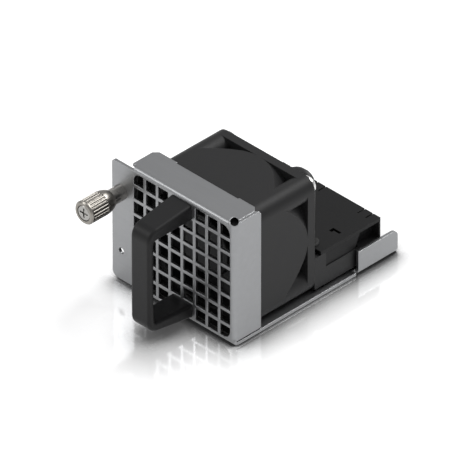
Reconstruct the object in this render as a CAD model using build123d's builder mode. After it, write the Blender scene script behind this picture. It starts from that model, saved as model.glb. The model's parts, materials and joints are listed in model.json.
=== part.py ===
from build123d import *
from math import cos, pi, radians, sin, sqrt
import os

# A hot-swappable fan module: a folded sheet carrier with a grille bezel, an axial fan,
# a pull handle, a captive thumbscrew and a blind-mate connector housing behind the fan.
# X runs to the right seen from the bezel, Y from the bezel into the chassis, Z up.
# The origin is under the tray, on the fan's centre line, at half the tray's length.

# Folded sheet carrier
sheet = 1.0
bend_radius = 1.5
tray_length = 67.6
flange_depth = 10.9
top_clearance = 1.0
side_clearance = 0.65
seam_gap = 0.1
flange_recess_depth = 0.5
flange_recess_width = 25.4
flange_corner_cut = 1.5
flange_overhang = 1.5
corner_relief_radius = 1.25
corner_relief_depth = 5.0
corner_gap = 0.5
foot_relief_radius = 0.7
wing_length = 16.3
wing_height = 8.0
wing_corner_radius = 2.0
wing_relief = 1.0

# Ear on the left of the bezel
ear_reach = 8.7
ear_top_drop = 1.15
ear_foot_rise = 0.65
ear_top_radius = 1.0
ear_foot_radius = 2.0
ear_hole_inset = 3.7
thumb_rise = 10.3
locating_drop = 10.65
locating_hole_radius = 1.05

# Foam ring between the bezel and the fan
gasket_wall = 0.9

# Grille
grid_hole = 4.08
grid_bar = 1.0
grid_count = 8
grid_corner_radius = 2.8

# Pull handle
handle_height = 40.0
handle_front_height = 35.2
handle_reach = 17.2
handle_foot_width = 8.66
handle_bar_width = 7.6
handle_foot_height = 5.4
handle_lower_ease = 0.65
handle_bar_depth = 2.4
handle_inner_slope = 0.034
handle_outer_radius = 4.3
handle_inner_radius = 1.2
handle_edge_radius = 1.0
handle_screw_radius = 1.25
handle_screw_depth = 5.5
handle_screw_drop = 0.4
handle_screw_head_radius = 2.1
handle_screw_head_height = 1.7

# Captive thumbscrew, drawn in its sprung-out position
thumb_travel = 4.3
knob_radius = 3.8
knob_reach = 15.3
knob_rim = 0.9
knob_chamfer = 0.45
knurl_end = 8.3
knurl_count = 24
knurl_groove_radius = 0.34
knob_front_gap = 0.6
knob_mouth_radius = 2.95
knob_web = 0.7
ferrule_radius = 2.5
ferrule_overlap = 1.5
ferrule_stub_radius = 2.0
thumb_shaft_radius = 1.5
thumb_head_radius = 2.4
thumb_head_height = 1.5
thumb_head_gap = 0.15
thumb_cross_span = 3.3
thumb_cross_width = 0.62
thumb_cross_depth = 0.8
thumb_thread_reach = 2.4
clip_thickness = 0.5
clip_radius = 2.7
clip_groove_depth = 0.3
clip_clearance = 0.05
spring_wire_radius = 0.2
spring_turns = 5.5

# Fan
fan_size = 40.0
fan_depth = 28.0
inlet_gap = 5.7
fan_corner_radius = 4.0
fan_hole_spacing = 32.0
fan_hole_radius = 1.6
fan_flange = 2.9
duct_radius = 19.0
duct_lip = 0.5
barrel_radius = 20.0
pocket_slope = 0.56
strut_count = 5
strut_width = 1.4
strut_depth = 4.0
lead_strut_width = 4.4
motor_base_radius = 10.4
motor_base_thickness = 2.5
motor_base_rim = 0.8
motor_base_depth = 4.5
fan_screw_radius = 1.5
fan_screw_length = 28.0
fan_screw_head_radius = 2.9
fan_screw_head_height = 2.0

# Rotor
hub_radius = 10.2
hub_wall = 0.85
hub_cap = 1.4
hub_set_back = 1.6
hub_gap = 1.0
hub_nose_radius = 1.2
blade_count = 5
blade_tip_gap = 0.5
blade_root_chord = 15.0
blade_tip_chord = 19.0
blade_root_angle = 50.0
blade_tip_angle = 36.0
blade_root_camber = 2.2
blade_tip_camber = 1.9
blade_thickness = 1.1
blade_set_back = 7.6
blade_sweep = 12.0
yoke_wall = 0.7
magnet_thickness = 1.05
magnet_length = 11.0
magnet_set_back = 5.0
rotor_shaft_radius = 1.0
shaft_tail = 0.44
shaft_clip_thickness = 0.4
shaft_clip_radius = 2.0
shaft_clip_groove = 0.2

# Motor
sleeve_radius = 3.6
sleeve_bore = 3.0
sleeve_set_back = 6.5
sleeve_end_gap = 0.9
bearing_length = 2.5
bearing_ring = 0.55
bearing_shield_depth = 0.25
rear_bearing_end_gap = 1.9
stator_air_gap = 0.4
stator_length = 7.0
stator_set_back = 10.0
stator_hub_ring = 1.4
tooth_count = 4
tooth_width = 2.0
tooth_shoe = 0.8
tooth_slot = 1.2
winding_thickness = 1.5
motor_board_radius = 8.3
motor_board_thickness = 1.0
motor_board_end_gap = 6.5
plug_thickness = 0.8

# Fan lead, held at the motor base and at the connector housing
lead_radius = 1.4
lead_angle = 63.4
lead_start_radius = 6.5
lead_exit_radius = 16.8
lead_channel_depth = 3.2
lead_rear_gap = 3.8
lead_hump_x = 8.3
lead_hump_z = 37.3
lead_drop_x = 14.4
lead_drop_z = 37.5
lead_bend_radius = 2.6
lead_run = 1.3
grommet_wall = 0.5
grommet_flange = 0.7
grommet_flange_height = 0.6

# Connector housing
housing_height = 13.3
housing_foot = 1.0
housing_wall = 1.2
front_wall = 1.7
tub_height = 7.1
ledge_height = 6.5
post_depth = 4.7
cover_thickness = 1.2
cover_front_gap = 0.3
skirt_inset = 0.3
skirt_top_end = 19.1
skirt_foot_end = 17.0
pocket_depth = 3.0
pocket_rear_wall = 0.6
snap_finger_width = 2.9
snap_finger_length = 3.2
snap_slit = 0.45
snap_finger_spots = (-15.35, -4.1, 15.35)
lock_slot_x = 15.6
lock_slot_depth = 13.3
lock_slot_length = 3.4
lock_slot_width = 0.9
corner_void = 2.6
housing_boss_radius = 2.6
housing_screw_x = 13.2
housing_screw_depths = (8.2, 23.2)

# Board and connectors inside the housing
board_seat = 2.6
board_thickness = 1.2
board_front_gap = 4.8
board_rear_gap = 5.5
board_side_gap = 1.2
board_screw_x = 6.5
board_screw_setback = 0.8
header_width = 6.4
header_depth = 5.0
header_height = 4.2
header_gap = 0.4
header_wall = 0.7
lead_plug_length = 3.2
lead_plug_height = 2.6
socket_width = 27.0
socket_depth = 11.5
socket_wall = 0.9
socket_back = 4.0
socket_rear_gap = 0.2
socket_roof_gap = 0.1
contact_count = 10
contact_spacing = 2.2
contact_width = 1.1
contact_thickness = 0.3
contact_end_gap = 0.8

# Screws under the tray and on the board
tray_screw_radius = 1.25
tray_screw_head_radius = 2.15
tray_screw_head_recess = 0.05
tray_screw_length = 3.8
board_screw_radius = 1.0
board_screw_head_radius = 1.9
board_screw_head_height = 1.2
board_screw_depth_below = 1.6

# Clearances
running_gap = 0.06
fit_gap = 0.03
screw_gap = 0.1

# Places worked out from the sizes above
front = -tray_length / 2
tray_rear = tray_length / 2
bezel_back = front + sheet
fan_front = bezel_back + inlet_gap
fan_rear = fan_front + fan_depth
fan_axis_z = sheet + fan_size / 2
bezel_height = 2 * sheet + fan_size + top_clearance
face_mid = bezel_height / 2
half_width = fan_size / 2 + side_clearance + sheet
bezel_left = -fan_size / 2
flange_left = bezel_left - flange_overhang
flange_rear = front + flange_depth
ear_left = bezel_left - ear_reach
ear_hole_x = ear_left + ear_hole_inset
foot_screw_half = (handle_height - handle_foot_height) / 2 - handle_screw_drop
thumb_z = face_mid + thumb_rise
locating_z = face_mid - locating_drop
mid_bend = bend_radius - sheet / 2
grid_pitch = grid_hole + grid_bar
fan_hole = fan_hole_spacing / 2
header_front = lead_rear_gap + lead_bend_radius + lead_run + lead_plug_length - header_wall
housing_depth = header_front + header_depth + header_gap + socket_depth + socket_rear_gap
board_screw_depth = header_front + board_screw_setback
housing_rear = fan_rear + housing_depth
housing_half = fan_size / 2
tub_floor_z = sheet + housing_foot
tub_top_z = sheet + tub_height
housing_top_z = sheet + housing_height
cover_under_z = housing_top_z - cover_thickness
screw_spots = [
    (x, fan_rear + depth)
    for x in (-housing_screw_x, housing_screw_x)
    for depth in housing_screw_depths
]


def across(y):
    """Plane across the module at y: local x is X, local y is Z, a negative extrude goes rearwards."""
    return Plane.XZ.offset(-y)


def beside(x, z):
    """Plane along a Y axis through (x, z): local x is Y, local y is the distance above the axis."""
    return Plane(origin=(x, 0, z), x_dir=(0, 1, 0), z_dir=(1, 0, 0))


def turned(plane, points, mode=Mode.ADD):
    """Turn a closed outline of (place along, radius) points about the plane's own x axis."""
    with BuildSketch(plane) as outline:
        with BuildLine():
            Polyline(*points, close=True)
        make_face()
    revolve(outline.sketch, axis=Axis(plane.origin, plane.x_dir), mode=mode)


def screw_group(seat_spots, head_radius, head_height, shank_radius, length, toward):
    """Pan-head screws: heads stand on each (plane, x, y) seat, shanks go the other way."""
    with BuildPart() as group:
        for seat, x, y in seat_spots:
            with BuildSketch(seat) as head:
                with Locations((x, y)):
                    Circle(head_radius)
            extrude(head.sketch, amount=toward * head_height)
        crowns = group.faces().filter_by(Axis.Y).filter_by(
            lambda f: any(abs(f.center().Y - (s.origin.Y - toward * head_height)) < 0.001 for s, x, y in seat_spots)
        )
        fillet(crowns.edges(), head_height * 0.45)
        for seat, x, y in seat_spots:
            with BuildSketch(seat) as shank:
                with Locations((x, y)):
                    Circle(shank_radius)
            extrude(shank.sketch, amount=-toward * length)
            with BuildSketch(seat.offset(toward * head_height)) as cross:
                with Locations((x, y)):
                    Rectangle(head_radius * 1.1, head_radius * 0.24)
                    Rectangle(head_radius * 0.24, head_radius * 1.1)
            extrude(cross.sketch, amount=-toward * head_height * 0.5, mode=Mode.SUBTRACT)
    return group.part


fan_side = beside(0, fan_axis_z)
thumb_side = beside(ear_hole_x, thumb_z)

# Carrier: tray, bezel face and top flange are one bent strip
with BuildPart() as carrier:
    with BuildSketch(Plane.YZ.offset(bezel_left)):
        with BuildLine():
            FilletPolyline(
                (tray_rear, sheet / 2),
                (front + sheet / 2, sheet / 2),
                (front + sheet / 2, bezel_height - sheet / 2),
                (flange_rear, bezel_height - sheet / 2),
                radius=mid_bend,
            )
        trace(line_width=sheet)
    extrude(amount=half_width - bend_radius - bezel_left)
    # The foot bend reaches under the right flange
    with BuildSketch(Plane.YZ.offset(half_width - bend_radius)):
        with Locations((front + bend_radius, bend_radius)):
            Circle(bend_radius)
            Circle(bend_radius - sheet, mode=Mode.SUBTRACT)
            Rectangle(bend_radius, bend_radius, align=Align.MAX, mode=Mode.INTERSECT)
    extrude(amount=bend_radius - seam_gap)
    # The right flange, bent back from the face
    with BuildSketch(Plane.XY.offset(bend_radius)):
        with BuildLine():
            FilletPolyline(
                (half_width - 2 * bend_radius, front + sheet / 2),
                (half_width - sheet / 2, front + sheet / 2),
                (half_width - sheet / 2, flange_rear),
                radius=mid_bend,
            )
        trace(line_width=sheet)
    extrude(amount=bezel_height - bend_radius - corner_gap)
    with BuildSketch(Plane.YZ.offset(half_width - sheet)):
        with BuildLine():
            Polyline(
                (front + bend_radius, bezel_height - flange_corner_cut),
                (flange_rear, bezel_height - flange_corner_cut),
                (flange_rear, bezel_height - flange_corner_cut / 2),
                (flange_rear - flange_corner_cut / 2, bezel_height),
                (front + bend_radius, bezel_height),
                close=True,
            )
        make_face()
    extrude(amount=sheet)
    # The top flange's overhang on the left, its edge on the right, then its rear outline
    with BuildSketch(Plane.XY.offset(bezel_height - sheet)):
        with Locations((bezel_left, flange_rear)):
            Rectangle(flange_overhang, flange_depth - bend_radius, align=Align.MAX)
    extrude(amount=sheet)
    with BuildSketch(Plane.XY.offset(bezel_height - sheet)):
        with BuildLine():
            Polyline(
                (half_width - bend_radius, front + bend_radius),
                (half_width - sheet - seam_gap, front + bend_radius),
                (half_width - sheet - seam_gap, flange_rear),
                (half_width - bend_radius, flange_rear),
                close=True,
            )
        make_face()
    extrude(amount=sheet)
    with BuildSketch(Plane.XY.offset(bezel_height - sheet)):
        with Locations((0, flange_rear)):
            Rectangle(flange_recess_width, 2 * flange_recess_depth)
        with Locations((flange_left, flange_rear), (half_width - sheet - seam_gap, flange_rear)):
            Rectangle(sqrt(2) * flange_corner_cut, sqrt(2) * flange_corner_cut, rotation=45)
    extrude(amount=sheet, mode=Mode.SUBTRACT)
    # The tray's full width, and the rear wings bent up from it
    with BuildSketch(Plane.XY):
        with Locations((0, front + bend_radius)):
            Rectangle(
                2 * half_width,
                tray_length - wing_length - bend_radius,
                align=(Align.CENTER, Align.MIN),
            )
        with Locations((-half_width, tray_rear - wing_length), (half_width, tray_rear - wing_length)):
            Rectangle(2 * bend_radius, 2 * wing_relief, mode=Mode.SUBTRACT)
    extrude(amount=sheet)
    with BuildSketch(across(tray_rear - wing_length)):
        with BuildLine():
            FilletPolyline(
                (sheet / 2 - half_width, sheet + wing_height - sheet),
                (sheet / 2 - half_width, sheet / 2),
                (half_width - sheet / 2, sheet / 2),
                (half_width - sheet / 2, sheet + wing_height - sheet),
                radius=mid_bend,
            )
        trace(line_width=sheet)
    extrude(amount=-wing_length)
    wing_tips = carrier.edges().filter_by(Axis.X).filter_by(
        lambda e: abs(e.center().Y - tray_rear) < 0.001 and abs(e.center().Z - wing_height) < 0.001
    )
    fillet(wing_tips, wing_corner_radius)
    # The ear, in the plane of the face
    with BuildSketch(across(front)) as ear:
        with BuildLine():
            Polyline(
                (bezel_left, ear_foot_rise),
                (bezel_left, bezel_height - ear_top_drop),
                (ear_left, bezel_height - ear_top_drop),
                (ear_left, ear_foot_rise),
                close=True,
            )
        make_face()
        fillet(ear.vertices().group_by(Axis.X)[0].sort_by(Axis.Y)[0], ear_foot_radius)
        fillet(ear.vertices().group_by(Axis.X)[0].sort_by(Axis.Y)[-1], ear_top_radius)
    extrude(amount=-sheet)
    # Grille, left solid where the handle's feet stand
    with BuildSketch(across(front)):
        with Locations((0, face_mid)):
            with GridLocations(grid_pitch, grid_pitch, grid_count, grid_count):
                Rectangle(grid_hole, grid_hole)
            RectangleRounded(
                grid_count * grid_pitch - grid_bar,
                grid_count * grid_pitch - grid_bar,
                grid_corner_radius,
                mode=Mode.INTERSECT,
            )
            with GridLocations(grid_pitch, (grid_count - 1) * grid_pitch, 2, 2):
                Rectangle(grid_pitch, grid_pitch, mode=Mode.SUBTRACT)
    extrude(amount=-sheet, mode=Mode.SUBTRACT)
    # Holes in the bezel and the ear
    with BuildSketch(across(front)):
        with Locations((0, face_mid)):
            with GridLocations(1, 2 * foot_screw_half, 1, 2):
                Circle(handle_screw_radius + screw_gap)
        with Locations((ear_hole_x, thumb_z)):
            Circle(ferrule_stub_radius)
        with Locations((ear_hole_x, locating_z)):
            Circle(locating_hole_radius)
    extrude(amount=-sheet, mode=Mode.SUBTRACT)
    # Countersunk holes in the tray
    for spot in screw_spots:
        with BuildSketch(Plane.XY):
            with Locations(spot):
                Circle(tray_screw_head_radius + screw_gap)
        with BuildSketch(Plane.XY.offset(sheet)):
            with Locations(spot):
                Circle(tray_screw_radius + screw_gap)
        loft(mode=Mode.SUBTRACT)
    # Corner reliefs where the bends meet
    relief_top = Plane(origin=(half_width - bend_radius, front + bend_radius, bezel_height), z_dir=(1, -1, 1))
    with BuildSketch(relief_top.offset(bend_radius)):
        Circle(corner_relief_radius)
    extrude(amount=-corner_relief_depth, mode=Mode.SUBTRACT)
    with Locations((half_width - foot_relief_radius, front + foot_relief_radius, bend_radius)):
        Sphere(foot_relief_radius, mode=Mode.SUBTRACT)

# Foam ring that seals the fan to the bezel
with BuildPart() as inlet_gasket:
    with BuildSketch(across(bezel_back)):
        with Locations((0, face_mid)):
            Rectangle(fan_size, fan_size)
            Rectangle(fan_size - 2 * gasket_wall, fan_size - 2 * gasket_wall, mode=Mode.SUBTRACT)
    extrude(amount=-inlet_gap)
inlet_gasket.part.label = "inlet_gasket"

# Pull handle: a tapered loop on two feet
with BuildPart() as handle:
    with BuildSketch(Plane.YZ) as loop:
        with BuildLine():
            Polyline(
                (front, face_mid + handle_height / 2),
                (front - handle_reach, face_mid + handle_front_height / 2),
                (front - handle_reach, face_mid - handle_front_height / 2),
                (front, face_mid - handle_height / 2),
                close=True,
            )
        make_face()
        fillet(loop.vertices().group_by(Axis.X)[0], handle_outer_radius)
    extrude(amount=handle_foot_width / 2, both=True)
    finger_depth = handle_reach - handle_bar_depth
    gap_half = handle_height / 2 - handle_foot_height
    lower_half = gap_half + handle_lower_ease
    with BuildSketch(Plane.YZ) as finger_gap:
        with BuildLine():
            Polyline(
                (front, face_mid + gap_half),
                (front - finger_depth, face_mid + gap_half - handle_inner_slope * finger_depth),
                (front - finger_depth, face_mid - lower_half + handle_inner_slope * finger_depth),
                (front, face_mid - lower_half),
                close=True,
            )
        make_face()
        fillet(finger_gap.vertices().group_by(Axis.X)[0], handle_inner_radius)
    extrude(amount=handle_foot_width / 2, both=True, mode=Mode.SUBTRACT)
    with BuildSketch(Plane.XY):
        with BuildLine():
            Polyline(
                (-handle_foot_width / 2, front),
                (-handle_bar_width / 2, front - handle_reach),
                (handle_bar_width / 2, front - handle_reach),
                (handle_foot_width / 2, front),
                close=True,
            )
        make_face()
    extrude(amount=bezel_height, mode=Mode.INTERSECT)
    sides = handle.faces().group_by(Axis.X)[0] + handle.faces().group_by(Axis.X)[-1]
    fillet(sides.edges().filter_by(lambda e: e.center().Y < front - 0.01), handle_edge_radius)
    with BuildSketch(across(front)):
        with Locations((0, face_mid)):
            with GridLocations(1, 2 * foot_screw_half, 1, 2):
                Circle(handle_screw_radius)
    extrude(amount=handle_screw_depth, mode=Mode.SUBTRACT)
handle.part.label = "handle"

bezel_rear_plane = across(bezel_back)
handle_screws = screw_group(
    [(bezel_rear_plane, 0, face_mid - foot_screw_half), (bezel_rear_plane, 0, face_mid + foot_screw_half)],
    handle_screw_head_radius,
    handle_screw_head_height,
    handle_screw_radius - fit_gap,
    handle_screw_depth + sheet - screw_gap,
    toward=-1,
)

# Thumbscrew places along Y, from the knob's face to the screw's tip
knob_face = front - knob_reach
knob_mouth = front - thumb_travel - knob_front_gap
ferrule_front = knob_mouth - ferrule_overlap
knob_seat = knob_face + thumb_head_height + thumb_head_gap
knob_bore_end = knob_seat + knob_web
knob_bore = ferrule_radius + running_gap
shaft_bore = thumb_shaft_radius + running_gap
clip_front = bezel_back + clip_clearance
thumb_tip = clip_front + clip_thickness + thumb_thread_reach

with BuildPart() as thumbscrew_knob:
    with BuildSketch(thumb_side) as knob_outline:
        with BuildLine():
            Polyline(
                (knob_mouth, knob_mouth_radius),
                (knob_mouth, knob_bore),
                (knob_bore_end, knob_bore),
                (knob_bore_end, thumb_shaft_radius),
                (knob_seat, thumb_shaft_radius),
                (knob_seat, thumb_head_radius + thumb_head_gap),
                (knob_face, thumb_head_radius + thumb_head_gap),
                (knob_face, knob_radius - knob_chamfer),
                (knob_face + knob_chamfer, knob_radius),
                (front - knurl_end, knob_radius),
            )
            TangentArc((front - knurl_end, knob_radius), (knob_mouth, knob_mouth_radius), tangent=(1, 0))
        make_face()
    revolve(axis=Axis(thumb_side.origin, (0, 1, 0)))
    # Straight knurl
    with BuildSketch(across(knob_face + knob_rim)):
        with Locations((ear_hole_x, thumb_z)):
            with PolarLocations(knob_radius + knurl_groove_radius * 0.3, knurl_count):
                Circle(knurl_groove_radius)
    extrude(amount=-(knob_reach - knurl_end - knob_rim), mode=Mode.SUBTRACT)
thumbscrew_knob.part.label = "thumbscrew_knob"

with BuildPart() as thumbscrew_shaft:
    tip_chamfer = thumb_shaft_radius * 0.3
    turned(
        thumb_side,
        [
            (knob_face + thumb_head_gap / 2, 0),
            (knob_face + thumb_head_gap / 2, thumb_head_radius - thumb_head_gap),
            (knob_face + 1.5 * thumb_head_gap, thumb_head_radius),
            (knob_seat, thumb_head_radius),
            (knob_seat, thumb_shaft_radius),
            (clip_front - clip_clearance / 2, thumb_shaft_radius),
            (clip_front - clip_clearance / 2, thumb_shaft_radius - clip_groove_depth),
            (clip_front + clip_thickness + clip_clearance / 2, thumb_shaft_radius - clip_groove_depth),
            (clip_front + clip_thickness + clip_clearance / 2, thumb_shaft_radius),
            (thumb_tip - tip_chamfer, thumb_shaft_radius),
            (thumb_tip, thumb_shaft_radius - tip_chamfer),
            (thumb_tip, 0),
        ],
    )
    with BuildSketch(across(knob_face)):
        with Locations((ear_hole_x, thumb_z)):
            Rectangle(thumb_cross_span, thumb_cross_width)
            Rectangle(thumb_cross_width, thumb_cross_span)
    extrude(amount=-thumb_cross_depth, mode=Mode.SUBTRACT)
thumbscrew_shaft.part.label = "thumbscrew_shaft"

with BuildPart() as thumbscrew_ferrule:
    turned(
        thumb_side,
        [
            (ferrule_front, shaft_bore),
            (ferrule_front, ferrule_radius),
            (front, ferrule_radius),
            (front, ferrule_stub_radius),
            (bezel_back, ferrule_stub_radius),
            (bezel_back, shaft_bore),
        ],
    )
thumbscrew_ferrule.part.label = "thumbscrew_ferrule"

with BuildPart() as thumbscrew_clip:
    with BuildSketch(across(clip_front)):
        with Locations((ear_hole_x, thumb_z)):
            Circle(clip_radius)
            Circle(thumb_shaft_radius - clip_groove_depth + fit_gap, mode=Mode.SUBTRACT)
        with Locations((ear_hole_x, thumb_z - clip_radius)):
            Rectangle(1.6 * (thumb_shaft_radius - clip_groove_depth), 2 * clip_radius, mode=Mode.SUBTRACT)
    extrude(amount=-clip_thickness)
thumbscrew_clip.part.label = "thumbscrew_clip"

spring_radius = (shaft_bore + knob_bore) / 2
spring_start = knob_bore_end + spring_wire_radius + running_gap
spring_end = ferrule_front - spring_wire_radius - running_gap
with BuildPart() as thumbscrew_spring:
    with BuildLine() as coil:
        Helix(
            pitch=(spring_end - spring_start) / spring_turns,
            height=spring_end - spring_start,
            radius=spring_radius,
            center=(ear_hole_x, spring_start, thumb_z),
            direction=(0, 1, 0),
        )
    with BuildSketch(coil.line ^ 0):
        Circle(spring_wire_radius)
    sweep()
thumbscrew_spring.part.label = "thumbscrew_spring"

# Fan frame: a rounded block with a coned waist, corner columns and a rear flange
with BuildPart() as fan_frame:
    with BuildSketch(across(fan_front)):
        with Locations((0, fan_axis_z)):
            RectangleRounded(fan_size, fan_size, fan_corner_radius)
    extrude(amount=-fan_depth)
    corner_reach = fan_size / 2 * sqrt(2)
    waist = fan_rear - fan_flange
    turned(
        fan_side,
        [
            (fan_front, 0),
            (fan_front, corner_reach),
            (waist - (corner_reach - barrel_radius) / pocket_slope, corner_reach),
            (waist, barrel_radius),
            (fan_rear, barrel_radius),
            (fan_rear, 0),
        ],
        mode=Mode.INTERSECT,
    )
    with BuildSketch(across(fan_front)):
        with Locations((0, fan_axis_z)):
            with GridLocations(fan_hole_spacing, fan_hole_spacing, 2, 2):
                Circle(fan_size / 2 - fan_hole)
    extrude(amount=-fan_depth)
    with BuildSketch(across(waist)):
        with Locations((0, fan_axis_z)):
            RectangleRounded(fan_size, fan_size, fan_corner_radius)
    extrude(amount=-fan_flange)
    with BuildSketch(across(fan_front)):
        with Locations((0, fan_axis_z)):
            Circle(duct_radius)
            with GridLocations(fan_hole_spacing, fan_hole_spacing, 2, 2):
                Circle(fan_hole_radius)
    extrude(amount=-fan_depth, mode=Mode.SUBTRACT)
    rims = fan_frame.edges().filter_by(GeomType.CIRCLE).filter_by(lambda e: abs(e.radius - duct_radius) < 0.001)
    chamfer(rims, duct_lip)
    # Motor base on its struts; the widest strut carries the lead in a channel
    strut_length = duct_radius + duct_lip - motor_base_radius + motor_base_rim
    strut_middle = motor_base_radius - motor_base_rim + strut_length / 2
    with BuildSketch(across(fan_rear - strut_depth)):
        with Locations((0, fan_axis_z)):
            with PolarLocations(strut_middle, strut_count, start_angle=lead_angle):
                Rectangle(strut_length, strut_width)
            with PolarLocations(strut_middle, 1, start_angle=lead_angle):
                Rectangle(strut_length, lead_strut_width)
    extrude(amount=-strut_depth)
    base_front = fan_rear - motor_base_depth
    base_floor = fan_rear - motor_base_thickness
    turned(
        fan_side,
        [
            (base_front, motor_base_radius),
            (base_front, motor_base_radius - motor_base_rim),
            (base_floor, motor_base_radius - motor_base_rim),
            (base_floor, sleeve_radius),
            (fan_rear, sleeve_radius),
            (fan_rear, motor_base_radius),
        ],
    )
    with BuildSketch(across(fan_rear)):
        with Locations((0, fan_axis_z)):
            with PolarLocations((lead_start_radius + duct_radius) / 2, 1, start_angle=lead_angle):
                Rectangle(duct_radius - lead_start_radius, 2 * (lead_radius + screw_gap))
            Circle(duct_radius, mode=Mode.INTERSECT)
    extrude(amount=lead_channel_depth, mode=Mode.SUBTRACT)
fan_frame.part.label = "fan_frame"

# Impeller: five twisted blades on a cup-shaped hub
hub_front = fan_front + hub_set_back
hub_rear = fan_rear - motor_base_depth - hub_gap
blade_tip_radius = duct_radius - blade_tip_gap
blade_middle = fan_front + blade_set_back + blade_root_chord * sin(radians(blade_root_angle)) / 4


def blade_plane(distance, turn):
    """Plane facing outwards at a distance from the fan's axis: local x is the hub's turning direction."""
    a = radians(turn)
    return Plane(
        origin=(distance * cos(a), blade_middle, fan_axis_z + distance * sin(a)),
        x_dir=(-sin(a), 0, cos(a)),
        z_dir=(cos(a), 0, sin(a)),
    )


def blade_section(plane, chord, angle, camber):
    """Cambered lens across one blade: its two arcs meet at the leading and trailing edges."""
    with BuildSketch(plane) as section:
        with BuildLine():
            lead = (-chord / 2 * cos(radians(angle)), chord / 2 * sin(radians(angle)))
            trail = (-lead[0], -lead[1])
            normal = (sin(radians(angle)), cos(radians(angle)))
            back = camber + blade_thickness / 2
            belly = camber - blade_thickness / 2
            ThreePointArc(lead, (normal[0] * back, normal[1] * back), trail)
            ThreePointArc(trail, (normal[0] * belly, normal[1] * belly), lead)
        make_face()
    return section.sketch


with BuildPart() as impeller:
    for index in range(blade_count):
        turn = 360 / blade_count * index
        root = blade_section(
            blade_plane(hub_radius * 0.8, turn), blade_root_chord, blade_root_angle, blade_root_camber
        )
        tip = blade_section(
            blade_plane(blade_tip_radius * 1.12, turn + blade_sweep), blade_tip_chord, blade_tip_angle, blade_tip_camber
        )
        loft([root, tip])
    with BuildSketch(across(fan_front)):
        with Locations((0, fan_axis_z)):
            Circle(blade_tip_radius)
            Circle(hub_radius - hub_wall / 2, mode=Mode.SUBTRACT)
    extrude(amount=-fan_depth, mode=Mode.INTERSECT)
    with BuildSketch(fan_side) as hub_outline:
        with BuildLine():
            Polyline(
                (hub_rear, hub_radius),
                (hub_rear, hub_radius - hub_wall),
                (hub_front + hub_cap, hub_radius - hub_wall),
                (hub_front + hub_cap, rotor_shaft_radius),
                (hub_front + hub_cap / 2, rotor_shaft_radius),
                (hub_front + hub_cap / 2, 0),
                (hub_front, 0),
                (hub_front, hub_radius - hub_nose_radius),
            )
            RadiusArc(
                (hub_front, hub_radius - hub_nose_radius),
                (hub_front + hub_nose_radius, hub_radius),
                hub_nose_radius,
            )
            Line((hub_front + hub_nose_radius, hub_radius), (hub_rear, hub_radius))
        make_face()
    revolve(axis=Axis(fan_side.origin, (0, 1, 0)))
impeller.part.label = "impeller"

# Rotor parts inside the hub
yoke_front = hub_front + hub_cap
yoke_radius = hub_radius - hub_wall - fit_gap
yoke_inner = yoke_radius - yoke_wall
magnet_inner = yoke_inner - fit_gap - magnet_thickness
with BuildPart() as rotor_yoke:
    turned(
        fan_side,
        [
            (yoke_front, rotor_shaft_radius + fit_gap),
            (yoke_front, yoke_radius),
            (hub_rear - hub_wall, yoke_radius),
            (hub_rear - hub_wall, yoke_inner),
            (yoke_front + yoke_wall, yoke_inner),
            (yoke_front + yoke_wall, rotor_shaft_radius + fit_gap),
        ],
    )
rotor_yoke.part.label = "rotor_yoke"

with BuildPart() as rotor_magnet:
    with BuildSketch(across(yoke_front + magnet_set_back)):
        with Locations((0, fan_axis_z)):
            Circle(yoke_inner - fit_gap)
            Circle(magnet_inner, mode=Mode.SUBTRACT)
    extrude(amount=-magnet_length)
rotor_magnet.part.label = "rotor_magnet"

shaft_front = hub_front + hub_cap / 2
sleeve_rear = fan_rear - sleeve_end_gap
rear_bearing_rear = fan_rear - rear_bearing_end_gap
clip_seat = rear_bearing_rear + running_gap
shaft_rear = clip_seat + shaft_clip_thickness + shaft_tail
with BuildPart() as rotor_shaft:
    turned(
        fan_side,
        [
            (shaft_front, 0),
            (shaft_front, rotor_shaft_radius),
            (clip_seat, rotor_shaft_radius),
            (clip_seat, rotor_shaft_radius - shaft_clip_groove),
            (clip_seat + shaft_clip_thickness, rotor_shaft_radius - shaft_clip_groove),
            (clip_seat + shaft_clip_thickness, rotor_shaft_radius),
            (shaft_rear, rotor_shaft_radius),
            (shaft_rear, 0),
        ],
    )
rotor_shaft.part.label = "rotor_shaft"

with BuildPart() as shaft_clip:
    with BuildSketch(across(clip_seat)):
        with Locations((0, fan_axis_z)):
            Circle(shaft_clip_radius)
            Circle(rotor_shaft_radius - shaft_clip_groove, mode=Mode.SUBTRACT)
        with Locations((0, fan_axis_z - shaft_clip_radius)):
            Rectangle(rotor_shaft_radius, 2 * shaft_clip_radius, mode=Mode.SUBTRACT)
    extrude(amount=-shaft_clip_thickness)
shaft_clip.part.label = "shaft_clip"

# Motor: sleeve, bearings, stator and board on the motor base
sleeve_front = fan_front + sleeve_set_back
with BuildPart() as bearing_sleeve:
    with BuildSketch(across(sleeve_front)):
        with Locations((0, fan_axis_z)):
            Circle(sleeve_radius)
            Circle(sleeve_bore, mode=Mode.SUBTRACT)
    extrude(amount=-(sleeve_rear - sleeve_front))
bearing_sleeve.part.label = "bearing_sleeve"


def bearing(start):
    """Outline of a shielded ball bearing from its front face."""
    end = start + bearing_length
    inner = rotor_shaft_radius + fit_gap
    ring = inner + bearing_ring
    rim = sleeve_bore - bearing_ring
    return [
        (start, inner),
        (start, ring),
        (start + bearing_shield_depth, ring),
        (start + bearing_shield_depth, rim),
        (start, rim),
        (start, sleeve_bore),
        (end, sleeve_bore),
        (end, rim),
        (end - bearing_shield_depth, rim),
        (end - bearing_shield_depth, ring),
        (end, ring),
        (end, inner),
    ]


with BuildPart() as front_bearing:
    turned(fan_side, bearing(sleeve_front + bearing_shield_depth))
front_bearing.part.label = "front_bearing"

with BuildPart() as rear_bearing:
    turned(fan_side, bearing(rear_bearing_rear - bearing_length))
rear_bearing.part.label = "rear_bearing"

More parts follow.
